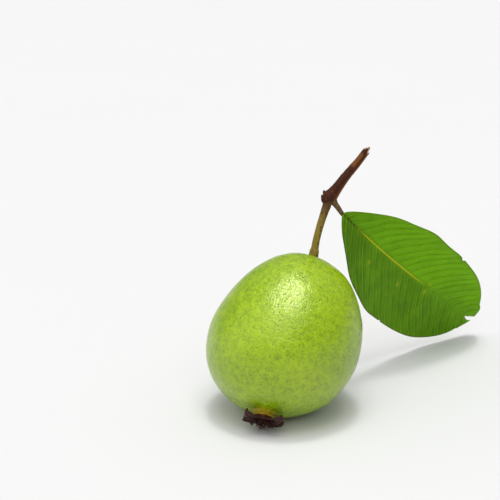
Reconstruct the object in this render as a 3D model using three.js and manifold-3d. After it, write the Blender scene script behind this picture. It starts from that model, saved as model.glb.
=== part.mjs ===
// A guava as picked: the fruit, the dried crown at its blossom end, its stalk, a short piece of twig
// with a swollen node, and one leaf. Millimetres, +Z up. The fruit lies on a small flat spot and the
// origin is on the floor straight under the fruit's middle. Seen from the front, +X is to the right
// and +Y to the back. Pieces that touch in life keep a gap of 0.3 mm here.
import * as THREE from 'three';
import { mergeVertices } from 'three/addons/utils/BufferGeometryUtils.js';
import Module from 'manifold-3d';

const wasm = await Module();
wasm.setup();

const GAP = 0.3;

// Fruit: a slightly long ball, fuller towards the stalk, leaning back and to the right.
const FRUIT_RADIUS = 31.4;
const FRUIT_STRETCH = 0.065;
const FRUIT_SHOULDER = 0.044;
const FRUIT_LOPSIDE = 0.057;
const LOPSIDE_TURN = rad(-42);
const FRUIT_MIDDLE_HEIGHT = 31.7;
const FRUIT_LEAN = rad(31.7);
const FRUIT_LEAN_TOWARDS = rad(61.8);
const FRUIT_RINGS = 34;
const FRUIT_SEGMENTS = 48;
const RING_CROWDING = 0.7;

// The crown sits a little off the fruit's long axis, nearer the front: where, and which way it faces.
const CROWN_PLACE = new THREE.Vector3(-0.277, -0.61, -0.742);
const CROWN_FACING = new THREE.Vector3(-0.192, -0.665, -0.722);
// The green neck that carries the crown, and the dip round the foot of the stalk.
const NECK_HEIGHT = 0.9;
const NECK_RADIUS = 4.0;
const NECK_FALL = 0.9;
const DIP_DEPTH = 1.3;
const DIP_RADIUS = 4.6;

// Crown: a shallow dried cup with five sepals, and what is left of the style.
const CUP_FOOT_RADIUS = 3.7;
const CUP_RIM_RADIUS = 4.4;
const CUP_HEIGHT = 1.9;
const CUP_HOLLOW_RADIUS = 3.1;
const CUP_FLOOR_RADIUS = 2.3;
const CUP_FLOOR = 1.0;
const CUP_SIDES = 20;
// The style stands on the cup's floor and ends in a knob: radius and height along it.
const STYLE_PROFILE = [[1.04, 1.0], [0.65, 1.6], [0.65, 2.9], [1.05, 3.9], [1.05, 4.65], [0.63, 5.25]];
const STYLE_END = 5.4;
const SEPAL_THICKNESS = 0.7;
const SEPAL_CUPPING = 0.9;
const SEPAL_CUPPING_FADE = 0.5;
const SEPAL_FOOT_HEIGHT = 1.05;
const SEPAL_LEAST_HALF_WIDTH = 0.3;
const SEPAL_TAPER = [2.2, 0.7];
const SEPAL_ROWS = 8;
const SEPAL_COLUMNS = 4;
// Each sepal: where it stands round the cup in degrees (0 faces the front), its length, its width,
// and how far it leans out at its root and at its tip, in degrees from the crown's axis.
const SEPALS = [
  [-40, 6.4, 5.6, 54, 138],
  [58, 5.7, 5.4, 58, 132],
  [122, 4.6, 5.4, 66, 108],
  [-172, 5.2, 5.0, 74, 128],
  [-104, 5.6, 5.4, 66, 130],
];

// Stalk and twig: centre lines and radii along them. The twig runs from its scar to its broken end.
const STALK_PATH = [
  [11.1, 16.0, 58.3], [11.9, 16.8, 62.6], [12.8, 17.8, 67.7], [14.2, 19.0, 73.1], [15.7, 20.2, 77.8],
  [17.0, 20.9, 81.6], [17.7, 21.2, 83.6],
];
const STALK_RADII = [1.75, 1.6, 1.45, 1.45, 1.55, 1.8, 1.9];
const TWIG_PATH = [
  [15.0, 22.3, 83.9], [16.6, 21.9, 84.2], [18.4, 21.4, 85.5], [20.5, 20.7, 88.4], [24.1, 19.6, 93.9],
  [28.3, 18.2, 99.8], [32.1, 17.0, 105.6],
];
const TWIG_RADII = [1.5, 2.5, 2.75, 2.15, 1.75, 1.55, 1.45];
const TWIG_STEPS = 24;
// The broken end: how far one side stands out over the other and where, and three smaller teeth.
const SPLINTER_LENGTH = 0.8;
const SPLINTER_TURN = rad(126);
const SPLINTER_TEETH = 0.5;
const STICK_STEPS = 20;
const STICK_SIDES = 12;

// Leaf: base and tip of the blade, the midrib's bow, and the two half blades. The upper half turns
// from its first angle at the midrib to its last at the margin, so the blade is a shallow trough.
const LEAF_BASE = new THREE.Vector3(23.6, 20.0, 78.3);
const LEAF_TIP = new THREE.Vector3(91.4, 80.0, 8.0);
// The midrib bows this far at its middle, and more of the bow lies near the base.
const MIDRIB_BOW = 1.3;
const BOW_AT_BASE = 1.4;
const BOW_AT_TIP = 0.6;
const HALVES = {
  upper: { width: 22.1, angle: rad(66), twist: 0, curl: rad(-30) },
  lower: { width: 25.1, angle: rad(260), twist: rad(-24), curl: rad(6) },
};
const WIDEST_AT = 0.43;
const BASE_ROUNDING = [1.64, 0.75];
const TIP_ROUNDING = [3.62, 0.84];
const LEAST_WIDTH = 0.04;
// Near the tip the upper half stays fuller: by this share, over this stretch of the blade.
const TIP_FULLNESS = 0.5;
const TIP_FULLNESS_FROM = 0.93;
const TIP_FULLNESS_TO = 0.99;
const BLADE_THICKNESS = 0.7;
const MARGIN_WAVE = 0.28;
const MARGIN_WAVES = 5;
const MARGIN_WAVE_SHIFT = 0.3;
const LEAF_ROWS = 32;
const LEAF_ROW_CROWDING = 1.25;
const LEAF_COLUMNS = 12;
const PETIOLE_PATH = [[19.4, 21.3, 84.2], [20.3, 21.0, 82.4], [21.8, 20.6, 80.4]];
const PETIOLE_RADIUS = 1.1;
const MIDRIB_TIP_RADIUS = 0.35;
const MIDRIB_TAPER = 0.7;
// The rib stands out behind the blade: its front lies this far in front of the blade's middle.
const MIDRIB_SUNK = 0.25;
const MIDRIB_START = 0.01;
const MIDRIB_END = 0.86;
const MIDRIB_STOPS = 9;
const RIB_STEPS = 36;
const RIB_SIDES = 8;
// Tears in the margin: place along and across the blade, then the outline that is torn out there,
// in millimetres across and along from that place.
const TEARS = [
  { along: 0.945, across: 0, wedge: [[-0.65, 1.2], [-0.3, 0.1], [0.6, 2.4], [3.6, 7.4], [-0.3, 9]] },
  { along: 0.6, across: 1, wedge: [[-1.0, 0.2], [3.0, -6.0], [3.0, 1.4]] },
  { along: 0.5, across: -1, wedge: [[1.0, 0.2], [-3.0, -1.6], [-3.0, 3.4]] },
];
const TEAR_DEPTH = 8;

function rad(degrees) {
  return THREE.MathUtils.degToRad(degrees);
}

// A smooth rise from 0 to 1 as x goes from low to high.
function rise(x, low, high) {
  return THREE.MathUtils.smoothstep(x, low, high);
}

// Turns a closed geometry into a solid, with its faces pointing out.
function solidOf(geometry) {
  const bare = geometry.clone();
  bare.deleteAttribute('normal');
  bare.deleteAttribute('uv');
  const merged = mergeVertices(bare, 1e-5);
  const at = merged.getAttribute('position');
  const index = merged.getIndex().array;
  const corner = (i) => new THREE.Vector3().fromBufferAttribute(at, i);
  const kept = [];
  let volume = 0;
  for (let i = 0; i < index.length; i += 3) {
    const [a, b, c] = index.slice(i, i + 3);
    if (a !== b && b !== c && c !== a) {
      kept.push([a, b, c]);
      volume += corner(a).dot(corner(b).cross(corner(c)));
    }
  }
  const facing = kept.map(([a, b, c]) => (volume < 0 ? [a, c, b] : [a, b, c]));
  return new wasm.Manifold(new wasm.Mesh({
    numProp: 3,
    vertProperties: new Float32Array(at.array),
    triVerts: new Uint32Array(facing.flat()),
  }));
}

function geometryOf(solid) {
  const mesh = solid.getMesh();
  const geometry = new THREE.BufferGeometry();
  geometry.setAttribute('position', new THREE.Float32BufferAttribute(mesh.vertProperties, 3));
  geometry.setIndex(new THREE.Uint32BufferAttribute(mesh.triVerts, 1));
  geometry.computeVertexNormals();
  return geometry;
}

function moveVertices(geometry, move) {
  const at = geometry.getAttribute('position');
  const p = new THREE.Vector3();
  for (let i = 0; i < at.count; i += 1) {
    p.fromBufferAttribute(at, i);
    move(p);
    at.setXYZ(i, p.x, p.y, p.z);
  }
  return geometry;
}

// A value between those of a list, for a share of the way along it.
function valueAlong(list, share) {
  const place = share * (list.length - 1);
  const i = Math.min(Math.floor(place), list.length - 2);
  return THREE.MathUtils.lerp(list[i], list[i + 1], place - i);
}

// A stick of changing thickness: a lathe turned upright, then bent onto a curve. grow makes it
// thicker all over, and endLift moves its last ring along the curve, by the angle round it.
function stick(
  path,
  radii,
  { steps = STICK_STEPS, sides = STICK_SIDES, grow = 0, endLift = () => 0 } = {},
) {
  const centres = path.map((p) => (p.isVector3 ? p : new THREE.Vector3(...p)));
  const curve = new THREE.CatmullRomCurve3(centres, false, 'centripetal');
  const profile = [new THREE.Vector2(0, 0)];
  for (let i = 0; i <= steps; i += 1) {
    const radius = valueAlong(radii, curve.getUtoTmapping(i / steps));
    profile.push(new THREE.Vector2(radius + grow, i));
  }
  profile.push(new THREE.Vector2(0, steps));
  const frames = curve.computeFrenetFrames(steps, false);
  return moveVertices(new THREE.LatheGeometry(profile, sides), (p) => {
    const ring = Math.round(p.y);
    const [x, z] = [p.x, p.z];
    curve.getPointAt(ring / steps, p);
    p.addScaledVector(frames.normals[ring], x).addScaledVector(frames.binormals[ring], -z);
    if (ring === steps && Math.hypot(x, z) > 0.1) {
      p.addScaledVector(frames.tangents[ring], endLift(Math.atan2(z, x)));
    }
  });
}

// A thin closed sheet over a grid of points. Both faces are split into triangles alike.
function sheet(rows, columns, pointAt, thickness) {
  const grid = [];
  for (let i = 0; i <= rows; i += 1) {
    for (let j = 0; j <= columns; j += 1) grid.push(pointAt(i / rows, (2 * j) / columns - 1));
  }
  const id = (i, j) => i * (columns + 1) + j;
  const clampedId = (i, j) => id(
    THREE.MathUtils.clamp(i, 0, rows),
    THREE.MathUtils.clamp(j, 0, columns),
  );
  const position = [];
  for (const side of [0.5, -0.5]) {
    for (let i = 0; i <= rows; i += 1) {
      for (let j = 0; j <= columns; j += 1) {
        const along = grid[clampedId(i + 1, j)].clone().sub(grid[clampedId(i - 1, j)]);
        const across = grid[clampedId(i, j + 1)].clone().sub(grid[clampedId(i, j - 1)]);
        const normal = across.cross(along).normalize();
        position.push(...grid[id(i, j)].clone().addScaledVector(normal, side * thickness).toArray());
      }
    }
  }
  const under = grid.length;
  const index = [];
  for (let i = 0; i < rows; i += 1) {
    for (let j = 0; j < columns; j += 1) {
      const [a, b, c, d] = [id(i, j), id(i, j + 1), id(i + 1, j + 1), id(i + 1, j)];
      index.push(a, b, c, a, c, d, under + a, under + c, under + b, under + a, under + d, under + c);
    }
  }
  const border = [];
  for (let j = 0; j < columns; j += 1) border.push(id(0, j));
  for (let i = 0; i < rows; i += 1) border.push(id(i, columns));
  for (let j = columns; j > 0; j -= 1) border.push(id(rows, j));
  for (let i = rows; i > 0; i -= 1) border.push(id(i, 0));
  border.forEach((a, k) => {
    const b = border[(k + 1) % border.length];
    index.push(b, a, under + a, b, under + a, under + b);
  });
  const geometry = new THREE.BufferGeometry();
  geometry.setAttribute('position', new THREE.Float32BufferAttribute(position, 3));
  geometry.setIndex(index);
  return geometry;
}

function materialOf(colour, roughness) {
  return new THREE.MeshStandardMaterial({ color: colour, roughness, metalness: 0 });
}

function meshOf(name, solid, material) {
  const mesh = new THREE.Mesh(geometryOf(solid), material);
  mesh.name = name;
  return mesh;
}

// The fruit's own frame: its middle, with +Z from the crown to the stalk.
const fruitFrame = new THREE.Group();
const fruitAxis = new THREE.Vector3(
  Math.sin(FRUIT_LEAN) * Math.cos(FRUIT_LEAN_TOWARDS),
  Math.sin(FRUIT_LEAN) * Math.sin(FRUIT_LEAN_TOWARDS),
  Math.cos(FRUIT_LEAN),
);
const fruitX = new THREE.Vector3(1, 0, 0).addScaledVector(fruitAxis, -fruitAxis.x).normalize();
const fruitY = new THREE.Vector3().crossVectors(fruitAxis, fruitX);
const fruitTurn = new THREE.Matrix4().makeBasis(fruitX, fruitY, fruitAxis);
fruitFrame.quaternion.setFromRotationMatrix(fruitTurn);
fruitFrame.position.z = FRUIT_MIDDLE_HEIGHT;
fruitFrame.updateMatrixWorld(true);
const intoFruit = fruitFrame.matrixWorld.clone().invert();
const stalkFoot = new THREE.Vector3(...STALK_PATH[1]).applyMatrix4(intoFruit).normalize();
const crownPlace = CROWN_PLACE.clone().transformDirection(intoFruit);

function fruitRadius(direction) {
  const c = direction.z;
  const s = Math.hypot(direction.x, direction.y);
  const turn = Math.atan2(direction.y, direction.x);
  const oval = FRUIT_STRETCH * (1.5 * c * c - 0.5);
  const shoulder = FRUIT_SHOULDER * (2.5 * c ** 3 - 1.5 * c);
  const lopside = FRUIT_LOPSIDE * 2 * s * c * Math.cos(turn - LOPSIDE_TURN);
  const body = FRUIT_RADIUS * (1 + oval + shoulder + lopside);
  const fromCrown = body * direction.distanceTo(crownPlace);
  const neck = NECK_HEIGHT * (1 - rise(fromCrown, NECK_RADIUS - NECK_FALL, NECK_RADIUS + NECK_FALL));
  const fromStalk = body * direction.distanceTo(stalkFoot);
  const dip = DIP_DEPTH * Math.exp(-((fromStalk / DIP_RADIUS) ** 2));
  return body + neck - dip;
}

function makeFruit() {
  const profile = [];
  for (let i = 0; i <= FRUIT_RINGS; i += 1) {
    const share = i / FRUIT_RINGS;
    const crowded = share - (RING_CROWDING * Math.sin(2 * Math.PI * share)) / (2 * Math.PI);
    const polar = Math.PI * crowded;
    const onAxis = i === 0 || i === FRUIT_RINGS;
    profile.push(new THREE.Vector2(onAxis ? 0 : Math.sin(polar), -Math.cos(polar)));
  }
  // The rings run round the crown, where the surface changes fastest.
  const upright = new THREE.Vector3(0, -1, 0);
  const turn = new THREE.Quaternion().setFromUnitVectors(upright, crownPlace);
  const ball = new THREE.LatheGeometry(profile, FRUIT_SEGMENTS).applyQuaternion(turn);
  moveVertices(ball, (p) => p.multiplyScalar(fruitRadius(p.clone().normalize())));
  const reach = 2 * FRUIT_RADIUS;
  const ground = new THREE.BoxGeometry(2 * reach, 2 * reach, reach)
    .translate(0, 0, -reach / 2)
    .applyMatrix4(intoFruit);
  const socket = stick(STALK_PATH, STALK_RADII, { grow: GAP }).applyMatrix4(intoFruit);
  const solid = solidOf(ball).subtract(solidOf(ground)).subtract(solidOf(socket));
  return meshOf('fruit', solid, materialOf(0x9cbc2b, 0.42));
}

// The crown's own frame: on top of the green neck, +Z away from the fruit, +X towards the front.
const crownFrame = new THREE.Group();
const crownZ = CROWN_FACING.clone().transformDirection(intoFruit);
const front = new THREE.Vector3(0, -1, 0).transformDirection(intoFruit);
const crownX = front.addScaledVector(crownZ, -front.dot(crownZ)).normalize();
const crownY = new THREE.Vector3().crossVectors(crownZ, crownX);
crownFrame.quaternion.setFromRotationMatrix(new THREE.Matrix4().makeBasis(crownX, crownY, crownZ));
crownFrame.position.copy(crownPlace).multiplyScalar(fruitRadius(crownPlace));
crownFrame.position.addScaledVector(crownZ, GAP);
fruitFrame.add(crownFrame);

// One sepal in the crown's frame. Its middle line starts inside the cup's wall and bends outwards.
function makeSepal([around, length, width, rootLean, tipLean]) {
  const [power, blunt] = SEPAL_TAPER;
  const line = [new THREE.Vector2(CUP_FOOT_RADIUS, SEPAL_FOOT_HEIGHT)];
  for (let i = 0; i < SEPAL_ROWS; i += 1) {
    const lean = rad(THREE.MathUtils.lerp(rootLean, tipLean, (i + 0.5) / SEPAL_ROWS));
    const step = new THREE.Vector2(Math.sin(lean), Math.cos(lean));
    line.push(line[i].clone().addScaledVector(step, length / SEPAL_ROWS));
  }
  const pointAt = (t, s) => {
    const lean = rad(THREE.MathUtils.lerp(rootLean, tipLean, t));
    const half = Math.max(SEPAL_LEAST_HALF_WIDTH, (width / 2) * (1 - t ** power) ** blunt);
    const middle = line[Math.round(t * SEPAL_ROWS)];
    const cupping = SEPAL_CUPPING * s * s * (half / (width / 2)) * (1 - SEPAL_CUPPING_FADE * t);
    const out = middle.x - Math.cos(lean) * cupping;
    const up = middle.y + Math.sin(lean) * cupping;
    const p = new THREE.Vector3(out, s * half, up);
    return p.applyAxisAngle(new THREE.Vector3(0, 0, 1), rad(around));
  };
  return solidOf(sheet(SEPAL_ROWS, SEPAL_COLUMNS, pointAt, SEPAL_THICKNESS));
}

function makeCrown() {
  const profile = [
    [0, 0], [CUP_FOOT_RADIUS, 0], [CUP_RIM_RADIUS, CUP_HEIGHT], [CUP_HOLLOW_RADIUS, CUP_HEIGHT],
    [CUP_FLOOR_RADIUS, CUP_FLOOR], ...STYLE_PROFILE, [0, STYLE_END],
  ].map(([r, z]) => new THREE.Vector2(r, z));
  const cup = new THREE.LatheGeometry(profile, CUP_SIDES).rotateX(Math.PI / 2);
  const solid = SEPALS.reduce((sum, sepal) => sum.add(makeSepal(sepal)), solidOf(cup));
  return meshOf('calyx', solid, materialOf(0x33160c, 0.85));
}

function splinter(angle) {
  return SPLINTER_LENGTH * Math.cos(angle - SPLINTER_TURN) + SPLINTER_TEETH * Math.cos(3 * angle);
}

function makeTwig() {
  const twig = solidOf(stick(TWIG_PATH, TWIG_RADII, { steps: TWIG_STEPS, endLift: splinter }));
  return meshOf('twig', twig, materialOf(0x4a2415, 0.75));
}

function grownTwig() {
  return solidOf(stick(TWIG_PATH, TWIG_RADII, { steps: TWIG_STEPS, grow: GAP }));
}

function grownStalk() {
  return solidOf(stick(STALK_PATH, STALK_RADII, { grow: GAP }));
}

function makeStalk() {
  const solid = solidOf(stick(STALK_PATH, STALK_RADII)).subtract(grownTwig());
  return meshOf('fruit_stalk', solid, materialOf(0x7a6a22, 0.65));
}

// The blade's middle line, and the half blade's width there as a share of the full one.
const leafLine = LEAF_TIP.clone().sub(LEAF_BASE).normalize();
const leafSide = new THREE.Vector3().crossVectors(leafLine, new THREE.Vector3(0, 0, 1)).normalize();
const leafUp = new THREE.Vector3().crossVectors(leafSide, leafLine);

function midribAt(t) {
  const bow = -MIDRIB_BOW * 4 * t * (1 - t) * THREE.MathUtils.lerp(BOW_AT_BASE, BOW_AT_TIP, t);
  const p = LEAF_BASE.clone().lerp(LEAF_TIP, t);
  return p.addScaledVector(leafSide, bow).addScaledVector(leafUp, bow);
}

function bladeFrameAt(t) {
  const step = 1e-3;
  const along = midribAt(t + step).sub(midribAt(t - step)).normalize();
  const side = new THREE.Vector3().crossVectors(along, new THREE.Vector3(0, 0, 1)).normalize();
  const up = new THREE.Vector3().crossVectors(side, along);
  return { along, side, up };
}

function widthShare(t) {
  const [power, blunt] = t < WIDEST_AT ? BASE_ROUNDING : TIP_ROUNDING;
  const reach = t < WIDEST_AT ? WIDEST_AT : 1 - WIDEST_AT;
  const share = (1 - (Math.abs(t - WIDEST_AT) / reach) ** power) ** blunt;
  return Math.max(LEAST_WIDTH, share);
}

// The blade's width at t as a share of its widest, for the upper half or the lower one.
function halfShare(t, upper) {
  return widthShare(t) * (upper ? 1 + TIP_FULLNESS * rise(t, TIP_FULLNESS_FROM, TIP_FULLNESS_TO) : 1);
}

// A point of the blade: t runs from base to tip, s from the lower margin (-1) to the upper (1).
function bladeAt(t, s) {
  const half = s < 0 ? HALVES.lower : HALVES.upper;
  const out = Math.abs(s);
  const { side, up } = bladeFrameAt(t);
  const first = half.angle + half.twist * (t - 0.5);
  const last = first + half.curl * out;
  const reach = (half.width * halfShare(t, s > 0)) / half.curl;
  const phase = 2 * Math.PI * (MARGIN_WAVES * t + MARGIN_WAVE_SHIFT * s);
  const wave = MARGIN_WAVE * out * out * Math.sin(phase);
  const p = midribAt(t);
  p.addScaledVector(side, reach * (Math.sin(last) - Math.sin(first)) - wave * Math.sin(last));
  p.addScaledVector(up, reach * (Math.cos(first) - Math.cos(last)) + wave * Math.cos(last));
  return p;
}

function makeTear({ along, across, wedge }) {
  const outline = new THREE.Shape(wedge.map(([x, y]) => new THREE.Vector2(x, y)));
  const cutter = new THREE.ExtrudeGeometry(outline, { depth: TEAR_DEPTH, bevelEnabled: false });
  cutter.translate(0, 0, -TEAR_DEPTH / 2);
  const step = 0.02;
  const x = bladeAt(along, Math.min(1, across + step)).sub(bladeAt(along, Math.max(-1, across - step)));
  x.normalize();
  const y = bladeFrameAt(along).along.addScaledVector(x, -bladeFrameAt(along).along.dot(x)).normalize();
  const z = new THREE.Vector3().crossVectors(x, y);
  const place = new THREE.Matrix4().makeBasis(x, y, z).setPosition(bladeAt(along, across));
  return solidOf(cutter.applyMatrix4(place));
}

// The petiole runs on as the rib behind the blade.
function makeRib() {
  const path = PETIOLE_PATH.map((p) => new THREE.Vector3(...p));
  const stops = path.length + MIDRIB_STOPS;
  const radii = Array.from({ length: stops }, (_, i) => {
    return THREE.MathUtils.lerp(PETIOLE_RADIUS, MIDRIB_TIP_RADIUS, (i / (stops - 1)) ** MIDRIB_TAPER);
  });
  for (let i = 0; i < MIDRIB_STOPS; i += 1) {
    const t = THREE.MathUtils.lerp(MIDRIB_START, MIDRIB_END, i / (MIDRIB_STOPS - 1));
    const across = bladeAt(t, 0.1).sub(bladeAt(t, -0.1));
    const behind = across.cross(bladeFrameAt(t).along).normalize();
    path.push(midribAt(t).addScaledVector(behind, radii[path.length] - MIDRIB_SUNK));
  }
  return solidOf(stick(path, radii, { steps: RIB_STEPS, sides: RIB_SIDES }));
}

function makeLeaf() {
  const crowded = (share, s) => bladeAt(1 - (1 - share) ** LEAF_ROW_CROWDING, s);
  const blade = solidOf(sheet(LEAF_ROWS, LEAF_COLUMNS, crowded, BLADE_THICKNESS));
  const whole = TEARS.reduce((left, tear) => left.subtract(makeTear(tear)), blade.add(makeRib()));
  const cut = whole.subtract(grownTwig()).subtract(grownStalk());
  return meshOf('leaf', cut, materialOf(0x4f8a0c, 0.5));
}

const guava = new THREE.Group();
const sprig = new THREE.Group();
fruitFrame.add(makeFruit());
crownFrame.add(makeCrown());
sprig.add(makeStalk(), makeTwig(), makeLeaf());
guava.add(fruitFrame, sprig);

export default guava;
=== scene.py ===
import math

import bmesh
import bpy
import numpy as np
from bpy.props import FloatProperty, FloatVectorProperty, IntProperty, PointerProperty
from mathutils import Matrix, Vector, noise


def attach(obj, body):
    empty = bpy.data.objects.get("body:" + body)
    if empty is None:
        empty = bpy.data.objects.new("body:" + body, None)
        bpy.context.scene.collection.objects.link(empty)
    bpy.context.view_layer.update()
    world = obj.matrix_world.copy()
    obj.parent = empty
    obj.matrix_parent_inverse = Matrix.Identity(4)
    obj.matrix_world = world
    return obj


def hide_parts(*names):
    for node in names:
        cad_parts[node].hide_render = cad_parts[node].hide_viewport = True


bl_info = {
    "name": "Guava",
    "version": (1, 0, 0),
    "blender": (4, 5, 0),
    "location": "View3D > Sidebar > Guava",
    "description": "Makes the skin, crown, stalk, twig and leaf of a guava, and a plain studio",
    "category": "Add Mesh",
}

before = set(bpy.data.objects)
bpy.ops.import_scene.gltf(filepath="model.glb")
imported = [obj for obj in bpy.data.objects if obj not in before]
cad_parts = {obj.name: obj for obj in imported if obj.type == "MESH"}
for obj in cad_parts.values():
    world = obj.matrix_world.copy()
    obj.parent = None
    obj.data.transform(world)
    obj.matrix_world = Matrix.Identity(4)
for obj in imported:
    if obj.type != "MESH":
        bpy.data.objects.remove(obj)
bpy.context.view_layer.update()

# Shapes are worked out in millimetres and turned into metres when a piece is made.
MM = 0.001

# The fruit is a slightly long ball, fuller towards the stalk, leaning back and to the right.
FRUIT_RADIUS = 31.4
FRUIT_STRETCH = 0.065
FRUIT_SHOULDER = 0.044
FRUIT_LOPSIDE = 0.057
LOPSIDE_TURN = math.radians(-42)
FRUIT_MIDDLE = np.array([0, 0, 31.7])
FRUIT_LEAN = math.radians(31.7)
FRUIT_LEAN_TOWARDS = math.radians(61.8)
NECK_HEIGHT = 0.9
NECK_RADIUS = 4.0
NECK_FALL = 0.9
DIP_DEPTH = 1.3
DIP_RADIUS = 4.6
# How softly the skin bends into its flat spot on the floor.
FLAT_SOFTNESS = 0.6
# The skin's relief: the size of its broad and small swells, and the folds that run into the crown
# and the stalk, with their height, how far they reach out and how many there are.
BROAD_SWELL_SIZE = 14
SMALL_SWELL_SIZE = 3.2
SMALL_SWELL_SHARE = 0.28
CROWN_FOLDS = {"height": 0.16, "reach": 9, "count": 11, "seed": 1}
STALK_FOLDS = {"height": 0.14, "reach": 6.5, "count": 9, "seed": 2}
# The skin's colours: the size of its riper patches, its clouds and its grain, and how far apart its
# small pits are.
PATCH_SIZE = 22
CLOUD_SIZE = 2.4
GRAIN_SIZE = 0.8
PIT_GAP = 1.3

# The crown: its place on the fruit, the way it faces, and its five sepals, each with the angle at
# which it stands (0 at the front), its length, its width, and its lean at the root and at the tip.
CROWN_PLACE = np.array([-0.277, -0.61, -0.742])
CROWN_FACING = np.array([-0.192, -0.665, -0.722])
# The crown's foot lies this far outside the skin.
CROWN_GAP = 0.3
CUP_PROFILE = [
    (3.7, -0.6), (3.75, 0.1), (3.95, 0.7), (4.2, 1.3), (4.4, 1.8), (4.25, 2.05), (3.75, 1.9),
    (3.2, 1.5), (2.7, 1.1), (1.7, 0.95), (0.9, 1.0),
]
SEPALS = [
    (-40, 6.4, 5.6, 54, 138),
    (58, 5.7, 5.4, 58, 132),
    (122, 4.6, 5.4, 66, 108),
    (-172, 5.2, 5.0, 74, 128),
    (-104, 5.6, 5.4, 66, 130),
]
SEPAL_ROOT = (3.7, 1.05)
SEPAL_TAPER = (2.2, 0.7)
SEPAL_TIP_HALF_WIDTH = 0.12
SEPAL_THICKNESS = 0.42
SEPAL_CUPPING = 0.95
SEPAL_CURL = 0.9
CUP_SIDES = 90
CUP_STEPS = 40
STYLE_PATH = [
    (0, 0, 0.8, 0.95), (0.05, 0, 1.8, 0.62), (0.1, -0.05, 3.0, 0.55), (0, 0, 3.7, 0.75),
    (-0.05, 0.05, 4.3, 1.05), (0, 0.1, 4.9, 0.95), (0.05, 0.1, 5.3, 0.35),
]
STYLE_STEPS = 40
STYLE_SIDES = 20
THREAD_STEPS = 9
THREAD_SIDES = 6

# Stalk, twig and petiole: points with a radius at each.
STALK_PATH = [
    (11.1, 16.0, 58.3, 1.75), (11.9, 16.8, 62.6, 1.6), (12.8, 17.8, 67.7, 1.45),
    (14.2, 19.0, 73.1, 1.45), (15.7, 20.2, 77.8, 1.55), (17.0, 20.9, 81.6, 1.8),
    (17.7, 21.2, 83.6, 1.9),
]
TWIG_PATH = [
    (15.0, 22.3, 83.9, 1.5), (16.6, 21.9, 84.2, 2.5), (18.4, 21.4, 85.5, 2.75),
    (20.5, 20.7, 88.4, 2.15), (24.1, 19.6, 93.9, 1.75), (28.3, 18.2, 99.8, 1.55),
    (32.1, 17.0, 105.6, 1.45),
]
PETIOLE_PATH = [
    (18.2, 21.6, 85.4, 1.9), (19.4, 21.3, 83.9, 1.6), (20.3, 21.0, 82.2, 1.25),
    (21.8, 20.6, 80.2, 1.05),
]
STALK_STEPS = 150
STALK_SIDES = 40
TWIG_STEPS = 190
TWIG_SIDES = 48
# How far round the twig its long ridge, its bud and its bare patch lie, in radians.
RIDGE_TURN = 1.3
BUD_TURN = -1.6
BARE_TURN = -1.2
BARE_COLOUR_TURN = -0.9
# The twig's broken end: how many of its last rings are drawn out into splinters, and the rings of
# the hollow in it, with their share of its width and their depth.
SPLINTER_RINGS = 10
BROKEN_RINGS = ((0.86, 0.05), (0.6, 0.5), (0.3, 0.7))

# Leaf: base and tip of the blade, and how far its midrib bows at its middle. The bow's share falls
# from its first value at the base. Each half blade turns by its curl from its first angle at the
# midrib, which twists along the lower half.
LEAF_BASE = np.array([23.6, 20.0, 78.3])
LEAF_TIP = np.array([91.4, 80.0, 8.0])
MIDRIB_BOW = 1.3
BOW_AT_BASE = 1.4
BOW_FALL = 0.8
UPPER_HALF = {"width": 22.1, "angle": math.radians(66), "curl": math.radians(-30)}
LOWER_HALF = {
    "width": 25.1, "angle": math.radians(260), "twist": math.radians(-24), "curl": math.radians(6),
}
WIDEST_AT = 0.43
BASE_ROUNDING = (1.64, 0.75)
TIP_ROUNDING = (3.62, 0.84)
TIP_FULLNESS = {"share": 0.5, "from": 0.93, "to": 0.99}
MARGIN_WAVE = 0.28
MARGIN_WAVES = 5
MARGIN_WAVE_SHIFT = 0.3
# The rib stands out behind the blade: its front lies this far behind the blade's middle.
MIDRIB_BEHIND = 0.3
# Its stops along the blade, its radius at the first, how much it loses and how soon.
RIB_PLACES = (0.01, 0.08, 0.16, 0.26, 0.38, 0.5, 0.62, 0.74, 0.9)
RIB_RADIUS = 0.9
RIB_LOSS = 0.65
RIB_TAPER = 0.6
RIB_STEPS = 260
RIB_SIDES = 20
# Where the blade ends in the tear at its tip: places across it, and how far along it runs there.
TEAR_FROM = 0.9
TEAR_ACROSS = (-1, -0.35, -0.09, -0.03, 0.08, 0.31, 0.65, 1)
TEAR_ALONG = (0.999, 0.994, 0.9555, 0.946, 0.966, 0.983, 0.99, 0.993)
# Nicks in the margins: half (1 upper, -1 lower), start and end along the blade, and depth.
NICKS = [(1, 0.604, 0.634, 1.0), (-1, 0.49, 0.507, 0.9), (-1, 0.944, 0.959, 0.8)]
VEIN_SLANT = math.radians(54)
VEIN_BEND = 0.006
LEAF_ROWS = 300
LEAF_COLUMNS = 121

# Small touches of colour, as on a screen: cracks in the bark, the scar at the twig's end, the leaf's
# lighter side veins, the dark line beside its midrib, and the darker line along its margin.
BARK_CRACK = (30, 10, 5)
TWIG_SCAR = (44, 20, 8)
SIDE_VEIN = (140, 192, 20)
BESIDE_MIDRIB = (64, 76, 8)
DARK_MARGIN_LINE = (70, 66, 14)

# The studio, in metres: how far its floor reaches each way, and where the camera stands. The floor's
# grain, the lens and the film width are in millimetres.
FLOOR_REACH = 8
FLOOR_GRAIN_SIZE = 300
CAMERA_X = -0.0143
CAMERA_Y = -0.4149
CAMERA_LENS = 80
CAMERA_FILM = 36
# Each light's width, its height over the floor and its turn from the front to the right, in degrees.
LIGHTS = {
    "key": (34, 79, 4),
    "glint": (8, 87, 10),
    "fill": (60, 48, -14),
    "side": (50, 12, -75),
}
# The air's brightness at the horizon, as a share of that overhead, and how high, from 0 at the
# horizon to 1 overhead, it is at its full brightness.
AIR_AT_HORIZON = 0.22
AIR_FULL_HEIGHT = 0.9


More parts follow.
